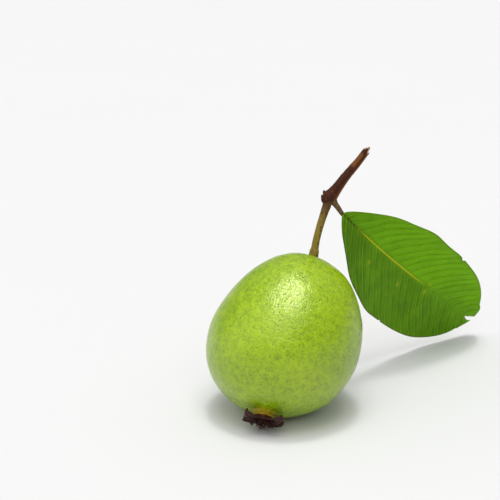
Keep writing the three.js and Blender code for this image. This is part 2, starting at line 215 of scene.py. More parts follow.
def linear(red, green, blue):
    """A screen colour from 0 to 255 as the scene's linear colour with full alpha."""
    shares = (channel / 255 for channel in (red, green, blue))
    return tuple(c / 12.92 if c <= 0.04045 else ((c + 0.055) / 1.055) ** 2.4 for c in shares) + (1,)


def tint(name, description, screen_colour):
    """A colour setting with its default given as on a screen."""
    return FloatVectorProperty(
        name=name, description=description, default=linear(*screen_colour), size=4, min=0, max=1,
        subtype="COLOR",
    )


def share_of(name, description, default):
    return FloatProperty(
        name=name, description=description, default=default, min=0, max=1, subtype="FACTOR",
    )


def length(name, description, millimetres):
    return FloatProperty(
        name=name, description=description, default=millimetres * MM, min=0, unit="LENGTH",
        precision=5,
    )


class FruitSettings(bpy.types.PropertyGroup):
    """What can be changed about the fruit's skin"""

    green: tint("Green", "Main colour of the skin", (120, 157, 0))
    ripe: tint("Ripe", "Lighter yellow-green of the riper patches", (162, 190, 4))
    pit: tint("Pit", "Colour in the skin's small pits", (86, 116, 0))
    neck: tint("Neck", "Colour of the neck round the crown", (174, 156, 18))
    lump: length("Lumps", "Height of the skin's broad swellings", 0.35)
    grain: length("Grain", "Height of the skin's fine bumps", 0.05)
    roughness: share_of("Roughness", "Roughness of the skin", 0.22)


class CrownSettings(bpy.types.PropertyGroup):
    """What can be changed about the dried crown"""

    dark: tint("Dark", "Colour of the dried sepals", (34, 8, 4))
    brown: tint("Brown", "Colour of the crown's cup", (95, 32, 12))
    amber: tint("Amber", "Colour of the cup's foot, where it is still alive", (166, 140, 12))
    threads: IntProperty(
        name="Threads", description="Number of withered stamens left in the cup", default=56, min=0,
    )
    seed: IntProperty(name="Seed", description="Seed of the stamens' places", default=4)


class StickSettings(bpy.types.PropertyGroup):
    """What can be changed about the stalk and the twig"""

    olive: tint("Olive", "Colour of the green stalk", (123, 106, 28))
    stalk_brown: tint("Stalk brown", "Colour of the stalk towards the twig", (78, 45, 15))
    bark: tint("Bark", "Colour of the twig", (63, 24, 3))
    ridge: tint("Ridge", "Colour of the twig's ridges and bare patches", (142, 88, 38))
    wood: tint("Wood", "Colour of the broken wood", (174, 144, 105))
    splinter: length("Splinter", "How far the broken end stands out", 2.3)


class LeafSettings(bpy.types.PropertyGroup):
    """What can be changed about the leaf"""

    upper: tint("Upper side", "Colour of the leaf's upper side", (120, 178, 0))
    # Besides the darker patches, this colour paints the shade over the upper side's lower half, its tip
    # and its base.
    shade: tint("Darker patches", "Colour of the upper side's darker patches", (74, 117, 0))
    vein: tint("Veins", "Colour of the midrib", (186, 190, 22))
    under: tint("Under side", "Colour of the leaf's under side", (127, 150, 83))
    thickness: length("Thickness", "Thickness of the blade", 0.4)
    vein_gap: length("Vein gap", "Distance between side veins along the midrib", 5.4)
    quilting: length("Quilting", "How far the blade swells between its veins", 0.32)


class StageSettings(bpy.types.PropertyGroup):
    """What can be changed about the studio"""

    floor: tint("Floor", "Colour of the floor", (208, 208, 208))
    world: share_of("World", "Brightness of the surroundings", 0.64)
    key: FloatProperty(name="Key", description="Strength of the soft light overhead", default=1.4)
    glint: FloatProperty(name="Glint", description="Strength of the small light in it", default=0.8)
    fill: FloatProperty(name="Fill", description="Strength of the light from the front", default=1.0)
    side: FloatProperty(name="Side", description="Strength of the low light at the left", default=0.46)
    camera_height: FloatProperty(
        name="Camera height", description="Height of the camera", default=0.204, unit="LENGTH",
    )
    camera_pitch: FloatProperty(
        name="Camera pitch", description="How far the camera looks down",
        default=math.radians(18), unit="ROTATION",
    )


def unit(vectors):
    return vectors / np.linalg.norm(vectors, axis=-1, keepdims=True)


def rise(x, low, high):
    """A smooth rise from 0 to 1 as x goes from low to high."""
    share = np.clip((x - low) / (high - low), 0, 1)
    return share * share * (3 - 2 * share)


def wobble(points, size, seed=0):
    """Smooth noise at each point, about -1 to 1, with swells of that size."""
    shift = Vector((17.3, 5.1, 9.7)) * seed
    values = [noise.noise(Vector(p) + shift) for p in points.reshape(-1, 3) / size]
    return np.array(values).reshape(points.shape[:-1])


def curve(path, steps):
    """Rows evenly along a smooth curve through the path's rows, with the share of the way at each."""
    path = np.asarray(path, float)
    rows = np.vstack([2 * path[0] - path[1], path, 2 * path[-1] - path[-2]])
    place = np.linspace(0, len(path) - 1, steps + 1)
    first = np.minimum(place.astype(int), len(path) - 2)
    t = (place - first)[:, None]
    a, b, c, d = (rows[first + k] for k in range(4))
    bend = (2 * a - 5 * b + 4 * c - d) * t**2 + (3 * b - a - 3 * c + d) * t**3
    return (2 * b + (c - a) * t + bend) / 2, place / (len(path) - 1)


def sweep(path, steps, sides, relief=None, facing=(0, -1, 0)):
    """Rings of points round a path of (x, y, z, radius) rows. Angle 0 is where the rings face, and
    a quarter turn on is to the right of it, seen with the path going up."""
    rows, share = curve(path, steps)
    centres = rows[:, :3]
    tangent = unit(np.gradient(centres, axis=0))
    facing = np.asarray(facing, float)
    out = unit(facing - (tangent @ facing)[:, None] * tangent)
    right = np.cross(tangent, out)
    angle = np.arange(sides) * 2 * math.pi / sides
    radius = np.repeat(rows[:, 3:], sides, axis=1)
    if relief is not None:
        radius = radius + relief(share[:, None], angle[None, :])
    spokes = np.cos(angle)[None, :, None] * out[:, None] + np.sin(angle)[None, :, None] * right[:, None]
    return centres[:, None] + radius[..., None] * spokes


def walls(rings):
    """The faces between rings of points."""
    rows, columns = rings.shape[:2]
    i, j = np.meshgrid(np.arange(rows - 1), np.arange(columns), indexing="ij")
    k = (j + 1) % columns
    around = [i * columns + j, i * columns + k, (i + 1) * columns + k, (i + 1) * columns + j]
    return np.stack(around, -1).reshape(-1, 4).tolist()


def tube(rings):
    """A closed skin over rings of points, with a middle point in each end."""
    rows, columns = rings.shape[:2]
    points = np.concatenate([rings.reshape(-1, 3), [rings[0].mean(0), rings[-1].mean(0)]])
    faces = walls(rings)
    first, last, base = rows * columns, rows * columns + 1, (rows - 1) * columns
    for j in range(columns):
        k = (j + 1) % columns
        faces += [(first, k, j), (last, base + j, base + k)]
    return points, faces


def normals(grid):
    """Which way a grid of points faces."""
    return unit(np.cross(np.gradient(grid, axis=0), np.gradient(grid, axis=1)))


def slab_rings(grid, thickness, back_relief=0):
    """Rings that run along the front of a grid of points and back along its other face."""
    normal = normals(grid)
    front = grid + normal * thickness / 2
    back = grid - normal * (thickness / 2 + np.asarray(back_relief))[..., None]
    return np.concatenate([front, back[:, ::-1]], axis=1)


def slab(rings):
    """A closed skin over rings from slab_rings, with narrow end faces from front to back."""
    rows, columns = rings.shape[:2]
    faces = walls(rings)
    for base in (0, (rows - 1) * columns):
        for j in range(columns // 2 - 1):
            back = columns - 1 - j
            faces.append((base + j, base + j + 1, base + back - 1, base + back))
    return rings.reshape(-1, 3), faces


def joined(shapes):
    """Several shapes as one."""
    points, faces, offset = [], [], 0
    for some_points, some_faces in shapes:
        points.append(some_points)
        faces += [[corner + offset for corner in face] for face in some_faces]
        offset += len(some_points)
    return np.concatenate(points), faces


def make_piece(name, shape, finishes, node=None):
    """An object that rides on the guava's one body and takes its finish from a slot."""
    points, faces = shape
    mesh = bpy.data.meshes.new(name)
    mesh.from_pydata((points * MM).tolist(), [], faces)
    for finish in finishes:
        mesh.materials.append(finish)
    shell = bmesh.new()
    shell.from_mesh(mesh)
    bmesh.ops.recalc_face_normals(shell, faces=shell.faces)
    shell.to_mesh(mesh)
    shell.free()
    mesh.shade_smooth()
    piece = bpy.data.objects.new(name, mesh)
    bpy.context.scene.collection.objects.link(piece)
    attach(piece, "root")
    if node:
        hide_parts(node)
    return piece


def note(piece, name, values):
    """Keeps a number for each point of a piece, for its finish to read."""
    attribute = piece.data.attributes.new(name, "FLOAT", "POINT")
    padded = np.zeros(len(piece.data.vertices), np.float32)
    padded[: values.size] = values.ravel()
    attribute.data.foreach_set("value", padded)


class Value:
    """A shader value. Arithmetic on it adds the Math nodes that work it out."""

    def __init__(self, finish, socket):
        self.finish = finish
        self.socket = socket

    def maths(self, operation, *values):
        return self.finish.node("ShaderNodeMath", {"operation": operation}, dict(enumerate(values)))

    def __add__(self, other):
        return self.maths("ADD", self, other)

    def __radd__(self, other):
        return self.maths("ADD", other, self)

    def __sub__(self, other):
        return self.maths("SUBTRACT", self, other)

    def __rsub__(self, other):
        return self.maths("SUBTRACT", other, self)

    def __mul__(self, other):
        return self.maths("MULTIPLY", self, other)

    def __rmul__(self, other):
        return self.maths("MULTIPLY", other, self)

    def __abs__(self):
        return self.maths("ABSOLUTE", self)

    def __mod__(self, other):
        return self.maths("FLOORED_MODULO", self, other)

    def __rmod__(self, other):
        return self.maths("FLOORED_MODULO", other, self)


class Finish:
    """The nodes of a material, or of another owner of nodes, in the making."""

    def __init__(self, name, owner=None):
        self.owner = owner or bpy.data.materials.new(name)
        self.owner.use_nodes = True
        self.tree = self.owner.node_tree
        self.tree.nodes.clear()

    def node(self, kind, settings=None, inputs=None, output=0):
        """Adds a node: its settings first, then the values or links of its sockets."""
        made = self.tree.nodes.new(kind)
        for name, value in (settings or {}).items():
            setattr(made, name, value)
        for name, value in (inputs or {}).items():
            socket = self.socket(made.inputs, name)
            if isinstance(value, Value):
                self.tree.links.new(value.socket, socket)
            else:
                socket.default_value = value
        return Value(self, self.socket(made.outputs, output)) if made.outputs else None

    def socket(self, sockets, name):
        """A socket by its place, its name, or its identifier where several share a name."""
        if isinstance(name, int) or name in sockets:
            return sockets[name]
        return next(socket for socket in sockets if socket.identifier == name)

    def place(self):
        """The point on the surface, in millimetres."""
        here = self.node("ShaderNodeTexCoord", output="Object")
        return self.node("ShaderNodeVectorMath", {"operation": "SCALE"}, {0: here, "Scale": 1 / MM})

    def stretched(self, place, scale):
        return self.node("ShaderNodeVectorMath", {"operation": "MULTIPLY"}, {0: place, 1: scale})

    def noted(self, name):
        """A number kept with note."""
        return self.node("ShaderNodeAttribute", {"attribute_name": name}, output="Fac")

    def grain(self, place, size, detail=2, roughness=0.5):
        """Cloudy noise from 0 to 1 with swells of that size."""
        sockets = {"Vector": place, "Scale": 1 / size, "Detail": detail, "Roughness": roughness}
        return self.node("ShaderNodeTexNoise", inputs=sockets, output="Fac")

    def cells(self, place, size):
        """Distance to the middle of the nearest cell, in cells of that size."""
        sockets = {"Vector": place, "Scale": 1 / size}
        return self.node("ShaderNodeTexVoronoi", inputs=sockets, output="Distance")

    def rise(self, value, low, high):
        """A smooth rise from 0 to 1 as the value goes from low to high."""
        sockets = {"Value": value, "From Min": low, "From Max": high}
        settings = {"interpolation_type": "SMOOTHSTEP"}
        return self.node("ShaderNodeMapRange", settings, sockets)

    def distance(self, place, point):
        sockets = {0: place, 1: tuple(point)}
        return self.node("ShaderNodeVectorMath", {"operation": "DISTANCE"}, sockets, "Value")

    def reach(self, place, way, start):
        """How far the place lies from a start in one direction."""
        settings = {"operation": "DOT_PRODUCT"}
        dot = self.node("ShaderNodeVectorMath", settings, {0: place, 1: tuple(way)}, "Value")
        return dot - float(np.dot(way, start))

    def mix(self, share, first, second):
        """The first colour where share is 0 and the second where it is 1."""
        sockets = {"Factor_Float": share, "A_Color": first, "B_Color": second}
        return self.node("ShaderNodeMix", {"data_type": "RGBA"}, sockets, "Result_Color")

    def done(self, base, roughness, height=None, **fixed):
        """Ends the material in a principled surface. Height is in millimetres."""
        sockets = {"Base Color": base, "Roughness": roughness}
        if height is not None:
            bump = {"Height": height, "Distance": MM, "Strength": 1}
            sockets["Normal"] = self.node("ShaderNodeBump", inputs=bump)
        sockets.update({name.replace("_", " "): value for name, value in fixed.items()})
        surface = self.node("ShaderNodeBsdfPrincipled", inputs=sockets)
        self.node("ShaderNodeOutputMaterial", inputs={"Surface": surface})
        return self.owner


AXIS = np.array([
    math.sin(FRUIT_LEAN) * math.cos(FRUIT_LEAN_TOWARDS),
    math.sin(FRUIT_LEAN) * math.sin(FRUIT_LEAN_TOWARDS),
    math.cos(FRUIT_LEAN),
])
FRUIT_X = unit(np.array([1, 0, 0]) - AXIS[0] * AXIS)
FRUIT_Y = np.cross(AXIS, FRUIT_X)
CROWN_DIRECTION = unit(CROWN_PLACE)
STALK_FOOT = np.array(STALK_PATH[1][:3])
STALK_DIRECTION = unit(STALK_FOOT - FRUIT_MIDDLE)


def body_radius(direction):
    """The fruit's radius in each direction, without its neck and its dip."""
    c = direction @ AXIS
    x, y = direction @ FRUIT_X, direction @ FRUIT_Y
    s = np.hypot(x, y)
    oval = FRUIT_STRETCH * (1.5 * c**2 - 0.5)
    shoulder = FRUIT_SHOULDER * (2.5 * c**3 - 1.5 * c)
    lopside = FRUIT_LOPSIDE * 2 * s * c * np.cos(np.arctan2(y, x) - LOPSIDE_TURN)
    return FRUIT_RADIUS * (1 + oval + shoulder + lopside)


def pucker(direction, pole, height, reach, count, seed):
    """Small folds that run into a pole of the fruit and end at that reach from it."""
    first = unit(np.cross(pole, (1.0, 0, 0)))
    second = np.cross(pole, first)
    turn = np.arctan2(direction @ second, direction @ first)
    away = FRUIT_RADIUS * np.linalg.norm(direction - pole, axis=-1)
    near = rise(away, reach, 0.35 * reach) * rise(away, 0, 0.2 * reach)
    swing = 0.6 * np.sin(3 * turn + seed) + 0.4 * np.sin(2 * turn - 1.7 * seed)
    return height * near * np.cos(count * turn + swing)


def skin_radius(direction):
    body = body_radius(direction)
    from_crown = body * np.linalg.norm(direction - CROWN_DIRECTION, axis=-1)
    neck = NECK_HEIGHT * rise(from_crown, NECK_RADIUS + NECK_FALL, NECK_RADIUS - NECK_FALL)
    from_stalk = body * np.linalg.norm(direction - STALK_DIRECTION, axis=-1)
    dip = DIP_DEPTH * np.exp(-((from_stalk / DIP_RADIUS) ** 2))
    return body + neck - dip


def fruit_shape(lump):
    """The skin: rings round the crown, crowded at it and at the stalk."""
    rings, segments, crowding, pole_gap = 200, 288, 0.6, 0.0015
    share = np.linspace(pole_gap, 1 - pole_gap, rings)
    polar = math.pi * (share - crowding * np.sin(2 * math.pi * share) / (2 * math.pi))
    turn = np.arange(segments) * 2 * math.pi / segments
    first = unit(np.cross(CROWN_DIRECTION, (1.0, 0, 0)))
    second = np.cross(CROWN_DIRECTION, first)
    spokes = np.cos(turn)[:, None] * first + np.sin(turn)[:, None] * second
    direction = np.cos(polar)[:, None, None] * CROWN_DIRECTION + np.sin(polar)[:, None, None] * spokes
    broad = wobble(direction * FRUIT_RADIUS, BROAD_SWELL_SIZE, seed=1)
    small = wobble(direction * FRUIT_RADIUS, SMALL_SWELL_SIZE, seed=2)
    swelling = lump * (broad + SMALL_SWELL_SHARE * small)
    folds = pucker(direction, CROWN_DIRECTION, **CROWN_FOLDS)
    folds += pucker(direction, STALK_DIRECTION, **STALK_FOLDS)
    points = FRUIT_MIDDLE + (skin_radius(direction) + swelling + folds)[..., None] * direction
    points[..., 2] = (points[..., 2] + np.hypot(points[..., 2], FLAT_SOFTNESS)) / 2
    return tube(points)


def skin_finish(settings):
    """Satin yellow-green skin with fine bumps, small pits and broad riper patches."""
    finish = Finish("guava_skin")
    place = finish.place()
    riper = finish.rise(finish.grain(place, PATCH_SIZE, 3), 0.36, 0.66)
    cloud = finish.grain(place, CLOUD_SIZE, 4, 0.62)
    colour = finish.mix(riper * 0.35 + 0.15, settings.green, settings.ripe)
    colour = finish.mix(finish.rise(cloud, 0.45, 0.7) * 0.55, colour, settings.ripe)
    colour = finish.mix(finish.rise(cloud, 0.5, 0.3) * 0.45, colour, settings.pit)
    grain = finish.grain(place, GRAIN_SIZE, 3, 0.65)
    pits = finish.rise(finish.cells(place, PIT_GAP), 0.32, 0.1)
    colour = finish.mix(finish.rise(grain, 0.52, 0.7) * 0.6, colour, settings.ripe)
    colour = finish.mix(finish.rise(grain, 0.5, 0.3) * 0.6, colour, settings.pit)
    colour = finish.mix(pits * 0.45, colour, settings.pit)
    to_crown = finish.distance(place, FRUIT_MIDDLE + body_radius(CROWN_DIRECTION) * CROWN_DIRECTION)
    colour = finish.mix(finish.rise(to_crown, 6.4, 3.9) * 0.85, colour, settings.neck)
    to_stalk = finish.distance(place, STALK_FOOT)
    colour = finish.mix(finish.rise(to_stalk, 5.0, 2.0) * 0.6, colour, settings.pit)
    fine = settings.grain / MM
    height = grain * (3.0 * fine) + cloud * (6.0 * fine) - pits * (2.0 * fine)
    roughness = settings.roughness + (cloud - 0.5) * 0.2
    return finish.done(
        colour, roughness, height,
        Subsurface_Weight=0.12, Subsurface_Radius=(0.9, 1.0, 0.1), Subsurface_Scale=0.002,
        Specular_IOR_Level=1.0, Specular_Tint=(1.0, 1.0, 0.55, 1.0),
    )


CROWN_Z = unit(CROWN_FACING)
CROWN_X = unit(np.array([0, -1, 0]) + CROWN_Z[1] * CROWN_Z)
CROWN_Y = np.cross(CROWN_Z, CROWN_X)
CROWN_FOOT = FRUIT_MIDDLE + float(skin_radius(CROWN_DIRECTION)) * CROWN_DIRECTION + CROWN_GAP * CROWN_Z


def on_crown(points):
    """Points given on the crown (x to the front, z away from the fruit) as points of the guava."""
    return CROWN_FOOT + points @ np.stack([CROWN_X, CROWN_Y, CROWN_Z])


def cup_shape():
    """The crown's dried cup, wrinkled, with a ragged rim."""
    around = np.arange(CUP_SIDES) * 2 * math.pi / CUP_SIDES
    profile, _ = curve(CUP_PROFILE, CUP_STEPS)
    radius, height = profile[:, :1], profile[:, 1:]
    folds = 0.05 * np.cos(10 * around + 0.8) + 0.03 * np.cos(23 * around)
    outer = rise(radius, 1.2, 3.4)
    radius = radius * (1 + outer * folds)
    ragged = 0.3 * np.sin(5 * around + 1) + 0.18 * np.sin(13 * around)
    height = height + rise(height, 0.9, 2.0) * ragged
    rings = np.stack([radius * np.cos(around), radius * np.sin(around), height + 0 * around], -1)
    return tube(rings)


def sepal_shape(sepal, seed):
    """One dried sepal that bends out of the cup, cupped across, ribbed along and ragged."""
    around, sepal_length, width, root_lean, tip_lean = sepal
    rows, columns = 34, 19
    power, blunt = SEPAL_TAPER
    t = np.linspace(0, 1, rows)[:, None]
    s = np.linspace(-1, 1, columns)[None, :]
    lean = np.radians(root_lean + (tip_lean - root_lean) * t)
    step = sepal_length / (rows - 1)
    out = SEPAL_ROOT[0] + np.cumsum(np.sin(lean), axis=0) * step
    up = SEPAL_ROOT[1] + np.cumsum(np.cos(lean), axis=0) * step
    half = np.maximum(SEPAL_TIP_HALF_WIDTH, width / 2 * (1 - t**power) ** blunt)
    noise_at = np.stack(np.broadcast_arrays(t * 6, s * 2, t * 0 + seed), -1)
    half = half * (1 + 0.16 * wobble(noise_at, 0.7, seed))
    ribs = 0.16 * np.cos(5 * s * math.pi / 2) + 0.34 * wobble(noise_at, 1.3, seed + 9)
    cupping = SEPAL_CUPPING * s**2 * (half / (width / 2)) * (1 - 0.5 * t) + ribs
    curl = SEPAL_CURL * t**3 * np.sin(seed * 2.1 + 1.5 * s)
    grid = np.stack([
        out - np.cos(lean) * (cupping + curl),
        s * half + 0 * t,
        up + np.sin(lean) * (cupping + curl),
    ], -1)
    turn = math.radians(around)
    cos, sin = math.cos(turn), math.sin(turn)
    spin = np.array([[cos, sin, 0], [-sin, cos, 0], [0, 0, 1]])
    return slab(slab_rings(grid @ spin, SEPAL_THICKNESS))


def thread_shapes(count, seed):
    """Withered stamens that curl out of the cup."""
    draw = np.random.default_rng(seed)
    shapes = []
    for _ in range(count):
        turn, reach = draw.uniform(0, 2 * math.pi), draw.uniform(1.6, 3.3)
        out = np.array([math.cos(turn), math.sin(turn), 0])
        side = np.array([-out[1], out[0], 0])
        root = out * reach + np.array([0, 0, 0.8])
        lean, sway = draw.uniform(-0.3, 1.1), draw.uniform(-1.2, 1.2)
        tall = draw.uniform(1.8, 3.6)
        path = []
        for share in (0, 0.3, 0.65, 1):
            drift = out * lean * share**1.5 * tall * 0.6 + side * sway * share**2
            path.append([*(root + drift + np.array([0, 0, tall * share])), 0.15 - 0.05 * share])
        path[-1][3] = 0.2
        shapes.append(tube(sweep(path, THREAD_STEPS, THREAD_SIDES, facing=(1, 0, 0))))
    return shapes


def crown_finish(settings, name, age):
    """Dry brown crown, amber at its living foot; age 1 is nearly black."""
    finish = Finish(name)
    place = finish.place()
    fibre = finish.grain(place, 0.7, 4, 0.7)
    height = finish.reach(place, CROWN_Z, CROWN_FOOT) + (fibre - 0.5) * 1.2
    colour = finish.mix(finish.rise(fibre, 0.35, 0.68), settings.dark, settings.brown)
    colour = finish.mix(finish.rise(height, 0.5, 1.6) * age, colour, settings.dark)
    near_foot = finish.rise(finish.distance(place, CROWN_FOOT), 4.9, 4.1)
    colour = finish.mix(finish.rise(height, 0.6, 0.0) * near_foot, colour, settings.amber)
    return finish.done(colour, 0.35 + fibre * 0.3, fibre * 0.22, Specular_IOR_Level=0.35)


def hump(angle, turn, width):
    """A hump round a stick, 1 at that turn and falling to 0 on both sides of it."""
    return np.exp(-(((np.cos(angle - turn) - 1) / width) ** 2))


def ridges(seed, height, count):
    """Long ridges and small knobs on a stick."""

    def relief(share, angle):
        around = np.cos(count * angle + 1.5 * np.sin(4 * share + seed))
        knobs = np.stack(np.broadcast_arrays(share * 30, np.cos(angle) * 2, np.sin(angle) * 2), -1)
        return height * (around + 0.9 * wobble(knobs, 1.0, seed))

    return relief


def stalk_shape():
    """The stalk, with a collar where it leaves the fruit."""

    def relief(share, angle):
        foot = 0.35 * rise(share, 0.24, 0.14) + 0.16 * np.exp(-(((share - 0.19) / 0.02) ** 2))
        return ridges(3, 0.055, 6)(share, angle) + foot

    return tube(sweep(STALK_PATH, STALK_STEPS, STALK_SIDES, relief))


def twig_shape(splinter):
    """The twig: swollen node with its bud scars, long ridges, and a splintered end."""

    def relief(share, angle):
        ridge = 0.22 * hump(angle, RIDGE_TURN, 0.12) * rise(share, 0.3, 0.45)
        bud = 0.7 * np.exp(-(((share - 0.2) / 0.05) ** 2)) * hump(angle, BUD_TURN, 0.5)
        scar = 0.14 * np.cos(60 * share) * rise(share, 0.34, 0.24)
        peeled = -0.16 * rise(share, 0.8, 0.84) * rise(np.cos(angle - BARE_TURN), -0.1, 0.4)
        return ridges(5, 0.07, 5)(share, angle) + ridge + bud + scar + peeled

    rings = sweep(TWIG_PATH, TWIG_STEPS, TWIG_SIDES, relief)
    angle = np.arange(rings.shape[1]) * 2 * math.pi / rings.shape[1]
    spikes = np.maximum(0, np.cos(2 * angle + 0.6)) + 0.35 * np.cos(9 * angle) * np.cos(4 * angle)
    along = unit(rings[-1].mean(0) - rings[-8].mean(0))
    for back in range(SPLINTER_RINGS):
        fade = (1 - back / SPLINTER_RINGS) ** 1.5
        rings[-1 - back] += along * (splinter * (spikes * 0.8 - 0.35) * fade)[:, None]
    middle = rings[-1].mean(0)
    inner = [middle + (rings[-1] - middle) * share - along * drop * splinter
             for share, drop in BROKEN_RINGS]
    return tube(np.concatenate([rings, inner]))


def stalk_finish(settings):
    """Olive stalk that browns towards the twig, with dark specks and fine lines along it."""
    finish = Finish("guava_stalk")
    place = finish.place()
    height = finish.reach(place, (0, 0, 1), (0, 0, 0))
    lines = finish.grain(finish.stretched(place, (1, 1, 0.16)), 0.45, 3, 0.6)
    brown = finish.rise(height + (lines - 0.5) * 6, 73, 84)
    colour = finish.mix(brown, settings.olive, settings.stalk_brown)
    colour = finish.mix(finish.rise(lines, 0.5, 0.72) * 0.5, colour, settings.stalk_brown)
    specks = finish.rise(finish.cells(finish.stretched(place, (1, 1, 0.6)), 1.5), 0.26, 0.14)
    colour = finish.mix(specks * 0.8, colour, settings.bark)
    foot = finish.rise(height + (lines - 0.5) * 1.5, 62.6, 61.2)
    colour = finish.mix(foot * 0.8, colour, settings.bark)
    return finish.done(colour, 0.6, lines * 0.2 - specks * 0.1, Specular_IOR_Level=0.3)


def twig_finish(settings):
    """Dark red-brown bark with paler ridges, a bare patch near the end and pale broken wood."""
    finish = Finish("guava_twig")
    place = finish.place()
    lines = finish.grain(finish.stretched(place, (1.2, 1.2, 0.3)), 0.5, 4, 0.65)
    patches = finish.grain(place, 3.2, 3)
    colour = finish.mix(finish.rise(lines, 0.5, 0.76) * 0.6, settings.bark, settings.ridge)
    colour = finish.mix(finish.rise(patches, 0.6, 0.4) * 0.6, colour, settings.bark)
    colour = finish.mix(finish.rise(lines, 0.46, 0.3) * 0.8, colour, linear(*BARK_CRACK))
    colour = finish.mix(finish.noted("ridge") * 0.85, colour, settings.ridge)
    colour = finish.mix(finish.noted("scar") * 0.8, colour, linear(*TWIG_SCAR))
    colour = finish.mix(finish.noted("broken"), colour, settings.wood)
    height = lines * 0.3 + patches * 0.1
    return finish.done(colour, 0.62 + lines * 0.15, height, Specular_IOR_Level=0.25)


LEAF_SPAN = float(np.linalg.norm(LEAF_TIP - LEAF_BASE))
LEAF_LINE = unit(LEAF_TIP - LEAF_BASE)
LEAF_SIDE = unit(np.cross(LEAF_LINE, (0, 0, 1)))
LEAF_UP = np.cross(LEAF_SIDE, LEAF_LINE)


def midrib(t):
    """The blade's middle line; t runs from its base to its tip."""
    t = np.asarray(t)[..., None]
    bow = -MIDRIB_BOW * 4 * t * (1 - t) * (BOW_AT_BASE - BOW_FALL * t)
    return LEAF_BASE + (LEAF_TIP - LEAF_BASE) * t + bow * (LEAF_SIDE + LEAF_UP)


def blade_axes(t):
    step = 1e-3
    along = unit(midrib(t + step) - midrib(t - step))
    side = unit(np.cross(along, (0, 0, 1)))
    return side, np.cross(side, along)


def half_width(t, s):
    """The width of the half blade that s lies in."""
    (near_power, near_blunt), (far_power, far_blunt) = BASE_ROUNDING, TIP_ROUNDING
    near = (1 - np.clip((WIDEST_AT - t) / WIDEST_AT, 0, 1) ** near_power) ** near_blunt
    far = (1 - np.clip((t - WIDEST_AT) / (1 - WIDEST_AT), 0, 1) ** far_power) ** far_blunt
    fuller = 1 + TIP_FULLNESS["share"] * rise(t, TIP_FULLNESS["from"], TIP_FULLNESS["to"])
    full = np.where(s < 0, LOWER_HALF["width"], UPPER_HALF["width"] * fuller)
    width = full * np.where(t < WIDEST_AT, near, far)
    for half, start, end, depth in NICKS:
        share = (t - start) / (end - start)
        cut = np.where((share > 0) & (share < 1), np.minimum(share * 1.25, (1 - share) * 5), 0)
        width = width - np.where(s * half > 0, depth * np.clip(cut, 0, 1), 0)
    return np.maximum(0.25, width)


def blade(t, s):
    """Points of the blade; s runs from the lower margin, -1, to the upper one, 1."""
    side, up = blade_axes(t)
    out = np.abs(s)
    lower = s < 0
    first = np.where(lower, LOWER_HALF["angle"] + LOWER_HALF["twist"] * (t - 0.5), UPPER_HALF["angle"])
    curl = np.where(lower, LOWER_HALF["curl"], UPPER_HALF["curl"])
    last = first + curl * out
    reach = half_width(t, s) / curl
    turns = MARGIN_WAVES * t + MARGIN_WAVE_SHIFT * s
    wave = MARGIN_WAVE * out**2 * np.sin(2 * math.pi * turns)
    across = reach * (np.sin(last) - np.sin(first)) - wave * np.sin(last)
    rising = reach * (np.cos(first) - np.cos(last)) + wave * np.cos(last)
    return midrib(t) + across[..., None] * side + rising[..., None] * up


def vein_phase(x, y, gap):
    """Counts the side veins: a vein runs where the phase is a whole number and a half."""
    return (x - np.abs(y) / math.tan(VEIN_SLANT) - VEIN_BEND * y**2) / gap


def leaf_grid():
    """Points of the blade, with each one's place along and across it, in millimetres."""
    even = np.linspace(0, 1, LEAF_ROWS)[:, None]
    s = np.linspace(-1, 1, LEAF_COLUMNS)[None, :]
    t, s = np.broadcast_arrays(0.004 + 0.996 * even, s)
    end = np.interp(s, TEAR_ACROSS, TEAR_ALONG)
    past = np.maximum(0, t - TEAR_FROM) / (1 - TEAR_FROM)
    t = np.minimum(t, TEAR_FROM) + past * (end - TEAR_FROM)
    return blade(t, s), t * LEAF_SPAN, s * half_width(t, s)


def leaf_relief(grid, x, y, gap, quilting):
    """How far the blade stands towards its upper side: it swells between the veins."""
    phase = vein_phase(x, y, gap) + 0.3 * wobble(grid, 11, seed=3)
    from_vein = np.abs(phase % 1 - 0.5)
    inside = rise(np.abs(y), 0.4, 3.5) * rise(half_width(x / LEAF_SPAN, y) - np.abs(y), 0, 4)
    swell = quilting * inside * (rise(from_vein, 0, 0.3) - 0.6)
    rib_groove = -0.3 * np.exp(-((y / 0.7) ** 2)) * rise(x, LEAF_SPAN, 0.6 * LEAF_SPAN)
    small = 0.07 * wobble(grid, 1.6, seed=4) + 0.3 * wobble(grid, 16, seed=5)
    rib_back = 0.22 * np.exp(-((from_vein * gap / 0.55) ** 2)) * inside
    return phase, swell + rib_groove + small, rib_back


